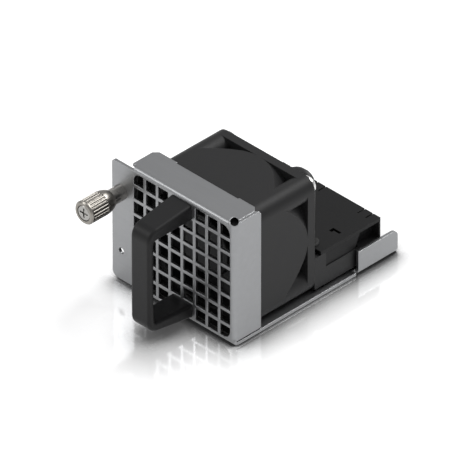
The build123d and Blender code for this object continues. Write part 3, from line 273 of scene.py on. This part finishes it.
class ShaderGroups:
    """The shader node groups that the finishes share: surface grain, and worn edges that also carry
    a painted highlight.
    """

    FINE_DETAIL = 3.0
    FINE_ROUGHNESS = 0.6
    CLOUD_DETAIL = 2.0
    BEVEL_SAMPLES = 6
    EDGE_SPAN: Span = (0.995, 0.88)
    PATCH_DETAIL = 3.0
    PATCH_SPAN: Span = (0.32, 0.62)
    PATCH_RANGE: Span = (0.25, 1.0)

    def __init__(self) -> None:
        """Build each group once."""
        self.grain = self._grain()
        self.edges = self._edges()

    @staticmethod
    def _started(name: str, inputs: dict[str, float], outputs: tuple[str, ...]
                 ) -> tuple[NodeSheet, bpy.types.Node, bpy.types.Node]:
        """Start a shader group with a Vector input and the named float sockets.

        Args:
            name: The group's name.
            inputs: Each float input's name and default.
            outputs: Each float output's name.

        Returns:
            The sheet, its input node and its output node.
        """
        tree = bpy.data.node_groups.new(name, "ShaderNodeTree")
        tree.interface.new_socket(name="Vector", in_out="INPUT", socket_type="NodeSocketVector")
        for label, value in inputs.items():
            socket = tree.interface.new_socket(name=label, in_out="INPUT",
                                               socket_type="NodeSocketFloat")
            socket.default_value = value
        for label in outputs:
            tree.interface.new_socket(name=label, in_out="OUTPUT", socket_type="NodeSocketFloat")
        sheet = NodeSheet(tree)
        return sheet, sheet.add("NodeGroupInput"), sheet.add("NodeGroupOutput")

    def _grain(self) -> bpy.types.NodeTree:
        """Fine grain and a slow cloud over the surface.

        Returns:
            The node group.
        """
        sheet, given, result = self._started(
            "Surface grain", {"Scale": 3000.0, "Cloud Scale": 80.0}, ("Grain", "Cloud"))
        fine = sheet.add("ShaderNodeTexNoise")
        fine.inputs["Detail"].default_value = self.FINE_DETAIL
        fine.inputs["Roughness"].default_value = self.FINE_ROUGHNESS
        slow = sheet.add("ShaderNodeTexNoise")
        slow.inputs["Detail"].default_value = self.CLOUD_DETAIL
        for noise, scale in ((fine, "Scale"), (slow, "Cloud Scale")):
            sheet.join(given.outputs["Vector"], noise.inputs["Vector"])
            sheet.join(given.outputs[scale], noise.inputs["Scale"])
        sheet.join(fine.outputs["Fac"], result.inputs["Grain"])
        sheet.join(slow.outputs["Fac"], result.inputs["Cloud"])
        return sheet.tree

    def _edges(self) -> bpy.types.NodeTree:
        """The rounded edges' normal, and a mask of the edges that wear and carry a painted
        highlight, broken up by noise.

        Returns:
            The node group.
        """
        sheet, given, result = self._started(
            "Worn and highlighted edges", {"Radius": 0.2 * MM, "Breakup Scale": 700.0}, ("Mask",))
        rounded = sheet.add("ShaderNodeBevel", samples=self.BEVEL_SAMPLES)
        sheet.join(given.outputs["Radius"], rounded.inputs["Radius"])
        flat = sheet.add("ShaderNodeNewGeometry")
        likeness = sheet.add("ShaderNodeVectorMath", operation="DOT_PRODUCT")
        sheet.join(rounded.outputs["Normal"], likeness.inputs[0])
        sheet.join(flat.outputs["Normal"], likeness.inputs[1])
        edge = sheet.ranged(likeness.outputs["Value"], self.EDGE_SPAN, (0.0, 1.0))
        broken = sheet.add("ShaderNodeTexNoise")
        broken.inputs["Detail"].default_value = self.PATCH_DETAIL
        sheet.join(given.outputs["Vector"], broken.inputs["Vector"])
        sheet.join(given.outputs["Breakup Scale"], broken.inputs["Scale"])
        patchy = sheet.ranged(broken.outputs["Fac"], self.PATCH_SPAN, self.PATCH_RANGE)
        sheet.join(sheet.maths("MULTIPLY", edge, patchy), result.inputs["Mask"])
        sheet.tree.interface.new_socket(name="Normal", in_out="OUTPUT",
                                        socket_type="NodeSocketVector")
        sheet.join(rounded.outputs["Normal"], result.inputs["Normal"])
        return sheet.tree


class FinishShop:
    """Makes each finish's material once, and dresses CAD nodes and new pieces with it."""

    GRAIN_SPAN: Span = (0.3, 0.7)
    ROUGH_SPREAD = 0.12
    BUMP_STRENGTH = 0.6

    def __init__(self, frame: dict[str, object]) -> None:
        """Args:
        """
        self.frame = frame
        self.groups = ShaderGroups()
        self.materials = {finish.slot: self._material(finish) for finish in FINISHES}
        subparts = frame["record"]["subparts"]
        self.slot_of = {entry["node"]: entry["material_slot"] for entry in subparts}

    def _material(self, finish: Finish) -> bpy.types.Material:
        """Build the material of one finish.

        Args:
            finish: What the surface is like.

        Returns:
            The node-based material.
        """
        material = bpy.data.materials.new(finish.slot)
        material.use_nodes = True
        material.node_tree.nodes.clear()
        sheet = NodeSheet(material.node_tree)
        place = sheet.add("ShaderNodeTexCoord").outputs["Object"]
        mapping = sheet.add("ShaderNodeMapping")
        mapping.inputs["Scale"].default_value = finish.stretch
        sheet.join(place, mapping.inputs["Vector"])
        grain = sheet.add("ShaderNodeGroup", node_tree=self.groups.grain)
        grain.inputs["Scale"].default_value = finish.grain_scale
        grain.inputs["Cloud Scale"].default_value = finish.mottle_scale
        sheet.join(mapping.outputs["Vector"], grain.inputs["Vector"])
        edges = sheet.add("ShaderNodeGroup", node_tree=self.groups.edges)
        edges.inputs["Radius"].default_value = finish.edge_radius
        sheet.join(place, edges.inputs["Vector"])
        # edge colour: wear, and on the sheet a painted highlight along its edges
        mask = sheet.maths("MULTIPLY", edges.outputs["Mask"], finish.wear_and_highlight)
        low = tuple(c * (1 - finish.mottle) for c in finish.colour)
        high = tuple(min(1.0, c * (1 + finish.mottle)) for c in finish.colour)
        base = sheet.mixed(grain.outputs["Cloud"], low, high)
        colour = sheet.mixed(mask, base, finish.wear_and_highlight_colour)
        rough = sheet.ranged(grain.outputs["Grain"], self.GRAIN_SPAN,
                             (finish.roughness * (1 - self.ROUGH_SPREAD),
                              finish.roughness * (1 + self.ROUGH_SPREAD)))
        shader = sheet.add("ShaderNodeBsdfPrincipled")
        shader.inputs["Metallic"].default_value = finish.metallic
        shader.inputs["Coat Weight"].default_value = finish.coat
        shader.inputs["Specular IOR Level"].default_value = finish.specular
        sheet.join(colour, shader.inputs["Base Color"])
        sheet.join(rough, shader.inputs["Roughness"])
        bump = sheet.add("ShaderNodeBump")
        bump.inputs["Distance"].default_value = finish.grain_depth
        bump.inputs["Strength"].default_value = self.BUMP_STRENGTH
        sheet.join(grain.outputs["Grain"], bump.inputs["Height"])
        sheet.join(edges.outputs["Normal"], bump.inputs["Normal"])
        sheet.join(bump.outputs["Normal"], shader.inputs["Normal"])
        output = sheet.add("ShaderNodeOutputMaterial")
        sheet.join(shader.outputs["BSDF"], output.inputs["Surface"])
        LOG.info("mixed %s: %s", finish.slot, finish.grain.value)
        return material

    def dress(self, *nodes: str, finish: str | None = None) -> None:
        """Give CAD nodes the finish of their record slots, or a named one.

        Args:
            *nodes: The nodes' names.
            finish: A finish to use in place of the record slot's own.
        """
        for name in nodes:
            node = self.frame["nodes"][name]
            chosen = finish or self.slot_of[name]
            for slot in node.material_slots:
                slot.link = "OBJECT"
                slot.material = self.materials[chosen]
            LOG.info("dressed %s with %s", name, chosen)

    def piece(self, obj: bpy.types.Object, slot: str, body: str,
              *replaced: str) -> bpy.types.Object:
        """Finish a new piece: its material, its record slot, its body and the nodes it stands for.

        Args:
            obj: The finished mesh object, at the origin.
            slot: The record's material slot.
            body: The CAD body it rides on.
            *replaced: CAD nodes that it replaces.

        Returns:
            The same object.
        """
        obj.data.materials.clear()
        obj.data.materials.append(self.materials[slot])
        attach(obj, body)
        if replaced:
            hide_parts(*replaced)
        LOG.info("made %s on %s: %d faces", obj.name, body, len(obj.data.polygons))
        return obj


class ShapeTree(NodeSheet):
    """A Geometry Nodes tree whose sizes are named inputs."""

    def __init__(self, name: str, sizes: dict[str, float]) -> None:
        """Args:
            name: The tree's name.
            sizes: Each input's name and value, in metres or counts.
        """
        super().__init__(bpy.data.node_groups.new(name, "GeometryNodeTree"))
        self.sizes = sizes
        for label, value in sizes.items():
            kind = "NodeSocketInt" if isinstance(value, int) else "NodeSocketFloat"
            socket = self.tree.interface.new_socket(name=label, in_out="INPUT", socket_type=kind)
            socket.default_value = value
        self.tree.interface.new_socket(name="Geometry", in_out="OUTPUT",
                                       socket_type="NodeSocketGeometry")
        self.given = self.add("NodeGroupInput")

    def size(self, name: str, target: bpy.types.NodeSocket) -> None:
        """Feed a named size to a node's input.

        Args:
            name: The size's name.
            target: The input that takes it.
        """
        self.join(self.given.outputs[name], target)

    def grown(self, geometry: bpy.types.NodeSocket, material: bpy.types.Material, name: str,
              place: Matrix) -> bpy.types.Object:
        """End the tree, run it and keep its result as a plain mesh.

        Args:
            geometry: The socket that holds the finished geometry.
            material: The material that the tree sets.
            name: The new object's name.
            place: Where the shape goes, put into the mesh.

        Returns:
            A mesh object at the origin with no modifier.
        """
        real = self.add("GeometryNodeRealizeInstances")
        smooth = self.add("GeometryNodeSetShadeSmooth")
        painted = self.add("GeometryNodeSetMaterial")
        painted.inputs["Material"].default_value = material
        result = self.add("NodeGroupOutput")
        self.join(geometry, real.inputs["Geometry"])
        self.join(real.outputs["Geometry"], smooth.inputs["Geometry"])
        self.join(smooth.outputs["Geometry"], painted.inputs["Geometry"])
        self.join(painted.outputs["Geometry"], result.inputs["Geometry"])
        seed = bpy.data.objects.new(name + ".seed", bpy.data.meshes.new(name + ".seed"))
        bpy.context.scene.collection.objects.link(seed)
        modifier = seed.modifiers.new("shape", "NODES")
        modifier.node_group = self.tree
        for item in self.tree.interface.items_tree:
            if item.item_type == "SOCKET" and item.in_out == "INPUT":
                modifier[item.identifier] = self.sizes[item.name]
        view = bpy.context.evaluated_depsgraph_get()
        view.update()
        mesh = bpy.data.meshes.new_from_object(seed.evaluated_get(view))
        bpy.data.objects.remove(seed)
        mesh.transform(place)
        piece = bpy.data.objects.new(name, mesh)
        bpy.context.scene.collection.objects.link(piece)
        return piece


def along_y(x: float, y: float, z: float) -> Matrix:
    """The placing that lays a shape's own Z axis along +Y.

    Args:
        x: Where its origin goes, along X.
        y: Where its origin goes, along Y.
        z: Where its origin goes, along Z.

    Returns:
        The placing.
    """
    return Matrix.Translation((x, y, z)) @ Matrix.Rotation(math.radians(-90), 4, "X")


@dataclass
class SheetCarrier:
    """The folded sheet with the screws under it and the foam ring behind its grille."""

    shop: FinishShop
    nodes: tuple[str, ...] = ("carrier", "tray_screws", "inlet_gasket")

    def build(self) -> None:
        """Dress the sheet, its screws and the foam ring."""
        self.shop.dress(*self.nodes)


@dataclass
class PullHandle:
    """The moulded handle and the two screws that hold its feet."""

    shop: FinishShop
    nodes: tuple[str, ...] = ("handle", "handle_screws")

    def build(self) -> None:
        """Dress the handle and its screws."""
        self.shop.dress(*self.nodes)


@dataclass
class CaptiveThumbscrew:
    """The sprung captive screw in the ear."""

    shop: FinishShop
    spring_turns: float = 7.5
    wire_radius: float = 0.2 * MM
    wire_facets: int = 10
    spring_steps: int = 28
    thread_pitch: float = 0.5 * MM
    thread_height: float = 0.16 * MM
    thread_radius: float = 1.44 * MM
    thread_run: float = 1.9 * MM
    thread_setback: float = 0.2 * MM
    thread_steps: int = 32
    ridge_sides: int = 3
    squashed: float = 0.327
    nodes: tuple[str, ...] = (
        "thumbscrew_knob", "thumbscrew_shaft", "thumbscrew_ferrule", "thumbscrew_clip",
    )

    def spring(self) -> bpy.types.Object:
        """Wind the spring, its end turns closer than the middle ones.

        Returns:
            The spring, on a mesh of its own; the real one shortens as the knob is pressed.
        """
        low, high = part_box("thumbscrew_spring")
        middle = (low + high) / 2
        length = high.y - low.y - 2 * self.wire_radius
        tree = ShapeTree("Spring", {
            "Turns": self.spring_turns,
            "Coil Radius": (high.z - low.z) / 2 - self.wire_radius,
            "Length": length,
            "Wire Radius": self.wire_radius,
            "Facets": self.wire_facets,
        })
        coil = tree.add("GeometryNodeCurveSpiral")
        coil.inputs["Resolution"].default_value = self.spring_steps
        for size, socket in (("Turns", "Rotations"), ("Coil Radius", "Start Radius"),
                             ("Coil Radius", "End Radius"), ("Length", "Height")):
            tree.size(size, coil.inputs[socket])
        at = tree.add("GeometryNodeInputPosition")
        parts = tree.add("ShaderNodeSeparateXYZ")
        tree.join(at.outputs["Position"], parts.inputs["Vector"])
        share = tree.maths("DIVIDE", parts.outputs["Z"], tree.given.outputs["Length"])
        eased = tree.add("ShaderNodeMapRange", interpolation_type="SMOOTHSTEP")
        tree.join(share, eased.inputs["Value"])
        blend = tree.maths("MULTIPLY", tree.maths("ADD", share, eased.outputs["Result"]), 0.5)
        there = tree.add("ShaderNodeCombineXYZ")
        tree.join(parts.outputs["X"], there.inputs["X"])
        tree.join(parts.outputs["Y"], there.inputs["Y"])
        tree.join(tree.maths("MULTIPLY", blend, tree.given.outputs["Length"]), there.inputs["Z"])
        moved = tree.add("GeometryNodeSetPosition")
        tree.join(coil.outputs["Curve"], moved.inputs["Geometry"])
        tree.join(there.outputs["Vector"], moved.inputs["Position"])
        section = tree.add("GeometryNodeCurvePrimitiveCircle")
        tree.size("Facets", section.inputs["Resolution"])
        tree.size("Wire Radius", section.inputs["Radius"])
        tube = tree.add("GeometryNodeCurveToMesh")
        tube.inputs["Fill Caps"].default_value = True
        tree.join(moved.outputs["Geometry"], tube.inputs["Curve"])
        tree.join(section.outputs["Curve"], tube.inputs["Profile Curve"])
        place = along_y(middle.x, low.y + self.wire_radius, middle.z)
        spring = tree.grown(tube.outputs["Mesh"], self.shop.materials["spring_steel"],
                            "spring_coil", place)
        self.shop.piece(spring, "spring_steel", "module", "thumbscrew_spring")
        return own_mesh(spring)

    def thread(self) -> bpy.types.Object:
        """Cut the thread on the screw's free end.

        Returns:
            The thread's ridge, which turns with the screw.
        """
        low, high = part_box("thumbscrew_shaft")
        middle = (low + high) / 2
        tree = ShapeTree("Screw thread", {
            "Turns": self.thread_run / self.thread_pitch,
            "Ridge Radius": self.thread_radius,
            "Length": self.thread_run,
            "Ridge Height": self.thread_height,
        })
        path = tree.add("GeometryNodeCurveSpiral")
        path.inputs["Resolution"].default_value = self.thread_steps
        for size, socket in (("Turns", "Rotations"), ("Ridge Radius", "Start Radius"),
                             ("Ridge Radius", "End Radius"), ("Length", "Height")):
            tree.size(size, path.inputs[socket])
        ridge = tree.add("GeometryNodeCurvePrimitiveCircle")
        ridge.inputs["Resolution"].default_value = self.ridge_sides
        tree.size("Ridge Height", ridge.inputs["Radius"])
        swept = tree.add("GeometryNodeCurveToMesh")
        swept.inputs["Fill Caps"].default_value = True
        tree.join(path.outputs["Curve"], swept.inputs["Curve"])
        tree.join(ridge.outputs["Curve"], swept.inputs["Profile Curve"])
        start = high.y - self.thread_run - self.thread_setback
        thread = tree.grown(swept.outputs["Mesh"], self.shop.materials["shaft_steel"],
                            "screw_thread", along_y(middle.x, start, middle.z))
        return self.shop.piece(thread, "shaft_steel", "thumbscrew")

    def build(self) -> None:
        """Dress the CAD pieces, wind the spring and cut the thread."""
        self.shop.dress(*self.nodes)
        self.spring()
        self.thread()


@dataclass
class AxialFan:
    """The fan: frame, impeller, motor and the four long screws."""

    shop: FinishShop
    nodes: tuple[str, ...] = (
        "fan_frame", "impeller", "rotor_yoke", "rotor_magnet", "rotor_shaft", "shaft_clip",
        "bearing_sleeve", "front_bearing", "rear_bearing", "stator_core", "stator_windings",
        "motor_board", "bearing_plug", "fan_screws", "fan_lead",
    )

    def build(self) -> None:
        """Dress the fan's CAD pieces."""
        self.shop.dress(*self.nodes)


@dataclass
class ConnectorHousing:
    """The housing behind the fan, with the board and the connector in it."""

    shop: FinishShop
    nodes: tuple[str, ...] = (
        "housing_base", "lead_grommet", "lead_plug", "board_header", "connector_board",
        "rear_connector", "connector_contacts", "board_screws",
    )

    def build(self) -> None:
        """Dress the housing's CAD pieces, the cover in its own darker plastic."""
        self.shop.dress(*self.nodes)
        self.shop.dress("housing_cover", finish="cover_plastic")


@dataclass
class Studio:
    """Floor, lamps, world and camera.

    The footprints are the areas where the floor mirrors the part, each with its centre, half
    size, fade and strength. The lamps have a name, a place, a width, a height and a power.
    """

    azimuth: float = 45.0
    elevation: float = 35.2644
    target: Point = (-1.66 * MM, -9.25 * MM, 15.0 * MM)
    frame_width: float = 138.5 * MM
    distance: float = 4.0
    sensor_mm: float = 36.0
    clip: Span = (0.05, 50.0)
    floor_size: float = 6.0
    floor_depth: float = 0.1 * MM
    floor_colour: Colour = (0.86, 0.86, 0.86)
    floor_roughness: float = 0.09
    contact: float = 14.0 * MM
    contact_samples: int = 8
    # painted contact shade: the occlusion darkens the floor's mirrored colour near the part, and
    # the floor's extra glow fades out there
    shade_span: Span = (0.5, 1.0)
    shade_range: Span = (0.05, 1.0)
    contact_shade_glow: float = 0.55
    contact_shade_glow_span: Span = (0.6, 0.94)
    glow: float = 0.33
    fade_power: float = 0.8
    room_colour: Colour = (0.6, 0.6, 0.605)
    backdrop_colour: Colour = (1.0, 1.0, 1.0)
    footprints: tuple[tuple[Point, Point, float, float], ...] = (
        ((0.8 * MM, 0.0, 0.0), (20.8 * MM, 33.8 * MM, 0.0), 15.0 * MM, 0.98),
        ((0.0, -42.4 * MM, 0.0), (3.6 * MM, 8.6 * MM, 0.0), 20.0 * MM, 0.84),
        ((-24.3 * MM, -33.3 * MM, 0.0), (4.4 * MM, 0.5 * MM, 0.0), 14.0 * MM, 0.98),
    )
    lamps: tuple[tuple[str, Point, float, float, float], ...] = (
        ("left softbox", (-0.9, -0.9, 0.9), 0.45, 0.45, 4.5),
        ("rear softbox", (0.2, 0.95, 1.2), 1.0, 0.4, 12.0),
        ("top softbox", (0.0, 0.25, 1.2), 1.0, 1.0, 2.0),
    )

    def camera(self) -> bpy.types.Object:
        """Place the camera at the photograph's angle.

        Returns:
            The camera, with the photograph's square frame.
        """
        lens = bpy.data.cameras.new("camera")
        lens.sensor_width = self.sensor_mm
        lens.lens = self.sensor_mm * self.distance / self.frame_width
        lens.clip_start, lens.clip_end = self.clip
        turn, rise = math.radians(self.azimuth), math.radians(self.elevation)
        back = Vector((math.sin(turn) * math.cos(rise), -math.cos(turn) * math.cos(rise),
                       math.sin(rise)))
        camera = bpy.data.objects.new("camera", lens)
        camera.location = Vector(self.target) + back * self.distance
        camera.rotation_euler = (-back).to_track_quat("-Z", "Y").to_euler()
        bpy.context.scene.collection.objects.link(camera)
        bpy.context.scene.camera = camera
        return camera

    def _mirrored(self, sheet: NodeSheet, place: bpy.types.NodeSocket) -> bpy.types.NodeSocket:
        """How much a point of the floor mirrors the part.

        Args:
            sheet: The floor's node tree.
            place: The floor's own coordinates.

        Returns:
            Each footprint's strength under the part, falling to 0 over its fade.
        """
        most = None
        for centre, half, fade, strength in self.footprints:
            away = sheet.add("ShaderNodeVectorMath", operation="SUBTRACT")
            sheet.join(place, away.inputs[0])
            away.inputs[1].default_value = centre
            size = sheet.add("ShaderNodeVectorMath", operation="ABSOLUTE")
            sheet.join(away.outputs["Vector"], size.inputs[0])
            beyond = sheet.add("ShaderNodeVectorMath", operation="SUBTRACT")
            sheet.join(size.outputs["Vector"], beyond.inputs[0])
            beyond.inputs[1].default_value = (half[0], half[1], 1.0)
            outside = sheet.add("ShaderNodeVectorMath", operation="MAXIMUM")
            sheet.join(beyond.outputs["Vector"], outside.inputs[0])
            length = sheet.add("ShaderNodeVectorMath", operation="LENGTH")
            sheet.join(outside.outputs["Vector"], length.inputs[0])
            near = sheet.ranged(length.outputs["Value"], (0.0, fade), (1.0, 0.0))
            eased = sheet.maths("POWER", near, self.fade_power)
            share = sheet.maths("MULTIPLY", eased, strength)
            most = share if most is None else sheet.maths("MAXIMUM", most, share)
        return most

    def floor(self) -> bpy.types.Object:
        """Lay the pale floor, with the soft reflection near the part and painted shade where the
        part stands on it.

        Returns:
            The floor, which is stage and not part of the object.
        """
        half = self.floor_size / 2
        mesh = bpy.data.meshes.new("floor")
        around = ((-half, -half), (half, -half), (half, half), (-half, half))
        mesh.from_pydata([(x, y, -self.floor_depth) for x, y in around], [], [(0, 1, 2, 3)])
        material = bpy.data.materials.new("pale floor")
        material.use_nodes = True
        material.node_tree.nodes.clear()
        sheet = NodeSheet(material.node_tree)
        place = sheet.add("ShaderNodeTexCoord").outputs["Object"]
        rays = sheet.add("ShaderNodeLightPath")
        bounced = sheet.maths("MAXIMUM", rays.outputs["Is Glossy Ray"],
                              rays.outputs["Is Transmission Ray"])
        seen = sheet.maths("MAXIMUM", rays.outputs["Is Camera Ray"], bounced)
        # painted contact shade: the occlusion below darkens the floor's mirrored colour close to
        # the part
        open_sky = sheet.add("ShaderNodeAmbientOcclusion", samples=self.contact_samples)
        open_sky.inputs["Distance"].default_value = self.contact
        shade = sheet.ranged(open_sky.outputs["AO"], self.shade_span, self.shade_range)
        matt = sheet.add("ShaderNodeBsdfDiffuse")
        matt.inputs["Color"].default_value = (*self.floor_colour, 1.0)
        glow = sheet.add("ShaderNodeEmission")
        sheet.join(sheet.maths("MULTIPLY", seen, self.glow), glow.inputs["Strength"])
        lit = sheet.add("ShaderNodeAddShader")
        sheet.join(matt.outputs["BSDF"], lit.inputs[0])
        sheet.join(glow.outputs["Emission"], lit.inputs[1])
        gloss = sheet.add("ShaderNodeBsdfGlossy")
        gloss.inputs["Roughness"].default_value = self.floor_roughness
        sheet.join(shade, gloss.inputs["Color"])
        # painted contact shade: this glow whitens the open floor and fades out near the part, so
        # the floor darkens where the part stands
        contact_shade_glow = sheet.add("ShaderNodeEmission")
        clear = sheet.ranged(open_sky.outputs["AO"], self.contact_shade_glow_span, (0.0, self.contact_shade_glow))
        sheet.join(sheet.maths("MULTIPLY", seen, clear), contact_shade_glow.inputs["Strength"])
        mirror = sheet.add("ShaderNodeAddShader")
        sheet.join(gloss.outputs["BSDF"], mirror.inputs[0])
        sheet.join(contact_shade_glow.outputs["Emission"], mirror.inputs[1])
        mixed = sheet.add("ShaderNodeMixShader")
        share = sheet.maths("MULTIPLY", self._mirrored(sheet, place),
                            rays.outputs["Is Camera Ray"])
        sheet.join(share, mixed.inputs["Fac"])
        sheet.join(lit.outputs["Shader"], mixed.inputs[1])
        sheet.join(mirror.outputs["Shader"], mixed.inputs[2])
        output = sheet.add("ShaderNodeOutputMaterial")
        sheet.join(mixed.outputs["Shader"], output.inputs["Surface"])
        mesh.materials.append(material)
        floor = bpy.data.objects.new("floor", mesh)
        bpy.context.scene.collection.objects.link(floor)
        return floor

    def lights(self) -> None:
        """Hang the softboxes and light the room evenly."""
        for name, spot, width, height, power in self.lamps:
            lamp = bpy.data.lights.new(name, "AREA")
            lamp.shape = "RECTANGLE"
            lamp.size, lamp.size_y = width, height
            lamp.energy = power
            obj = bpy.data.objects.new(name, lamp)
            obj.location = spot
            aim = Vector(self.target) - Vector(spot)
            obj.rotation_euler = aim.to_track_quat("-Z", "Y").to_euler()
            bpy.context.scene.collection.objects.link(obj)
        world = bpy.data.worlds.new("room")
        bpy.context.scene.world = world
        world.use_nodes = True
        world.node_tree.nodes.clear()
        sheet = NodeSheet(world.node_tree)
        rays = sheet.add("ShaderNodeLightPath")
        seen = sheet.maths("MAXIMUM", rays.outputs["Is Camera Ray"],
                           rays.outputs["Is Transmission Ray"])
        room = sheet.add("ShaderNodeBackground")
        room.inputs["Color"].default_value = (*self.room_colour, 1.0)
        backdrop = sheet.add("ShaderNodeBackground")
        backdrop.inputs["Color"].default_value = (*self.backdrop_colour, 1.0)
        mixed = sheet.add("ShaderNodeMixShader")
        sheet.join(seen, mixed.inputs["Fac"])
        sheet.join(room.outputs["Background"], mixed.inputs[1])
        sheet.join(backdrop.outputs["Background"], mixed.inputs[2])
        output = sheet.add("ShaderNodeOutputWorld")
        sheet.join(mixed.outputs["Shader"], output.inputs["Surface"])

    def build(self) -> None:
        """Set up the whole studio."""
        bpy.context.scene.view_settings.view_transform = "Standard"
        self.camera()
        self.floor()
        self.lights()
        LOG.info("studio set")


def main() -> None:
    """Load the frame, set up the studio and build each sub-assembly on it."""
    logging.basicConfig(level=logging.INFO, format="%(name)s: %(message)s")
    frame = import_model()
    Studio().build()
    shop = FinishShop(frame)
    for assembly in (SheetCarrier(shop), PullHandle(shop), CaptiveThumbscrew(shop),
                     AxialFan(shop), ConnectorHousing(shop)):
        assembly.build()
        LOG.info("built %s", type(assembly).__name__)


if __name__ == "__main__":
    main()
